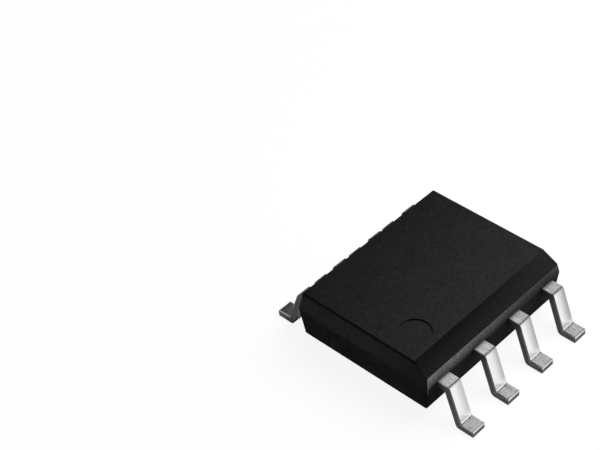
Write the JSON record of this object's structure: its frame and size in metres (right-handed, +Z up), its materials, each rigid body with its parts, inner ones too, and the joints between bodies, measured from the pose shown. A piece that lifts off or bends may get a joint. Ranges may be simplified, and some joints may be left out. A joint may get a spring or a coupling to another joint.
{
  "type": "small-outline integrated circuit",
  "caption": "Small-outline integrated circuit: a moulded black package with two rows of gull-wing leads, a bevelled long edge and a round mark by the first lead.",
  "frame": {"origin": "on the board's surface, under the middle of the package and of its rows of feet", "axes": "+Z up from the board, +Y along the package, +X towards the bevelled side, which carries leads 1 to 4 from -Y to +Y"},
  "size_m": [0.006, 0.005, 0.0017],
  "materials": {
    "moulding_compound": "fine matt, as moulded from black epoxy",
    "plated_lead": "dull tin plate with fine draw lines, over copper alloy",
    "copper_alloy": "bare rolled strip",
    "silver_epoxy": "cured paste",
    "silicon": "polished",
    "gold_wire": "bright drawn wire"
  },
  "bodies": {
    "root": {"mould_body": "moulding_compound", "lead_1": "plated_lead", "lead_2": "plated_lead", "lead_3": "plated_lead", "lead_4": "plated_lead", "lead_5": "plated_lead", "lead_6": "plated_lead", "lead_7": "plated_lead", "lead_8": "plated_lead", "die_pad": "copper_alloy", "die_attach": "silver_epoxy", "die": "silicon", "bond_wire_1": "gold_wire", "bond_wire_2": "gold_wire", "bond_wire_3": "gold_wire", "bond_wire_4": "gold_wire", "bond_wire_5": "gold_wire", "bond_wire_6": "gold_wire", "bond_wire_7": "gold_wire", "bond_wire_8": "gold_wire"}
  },
  "joints": []
}
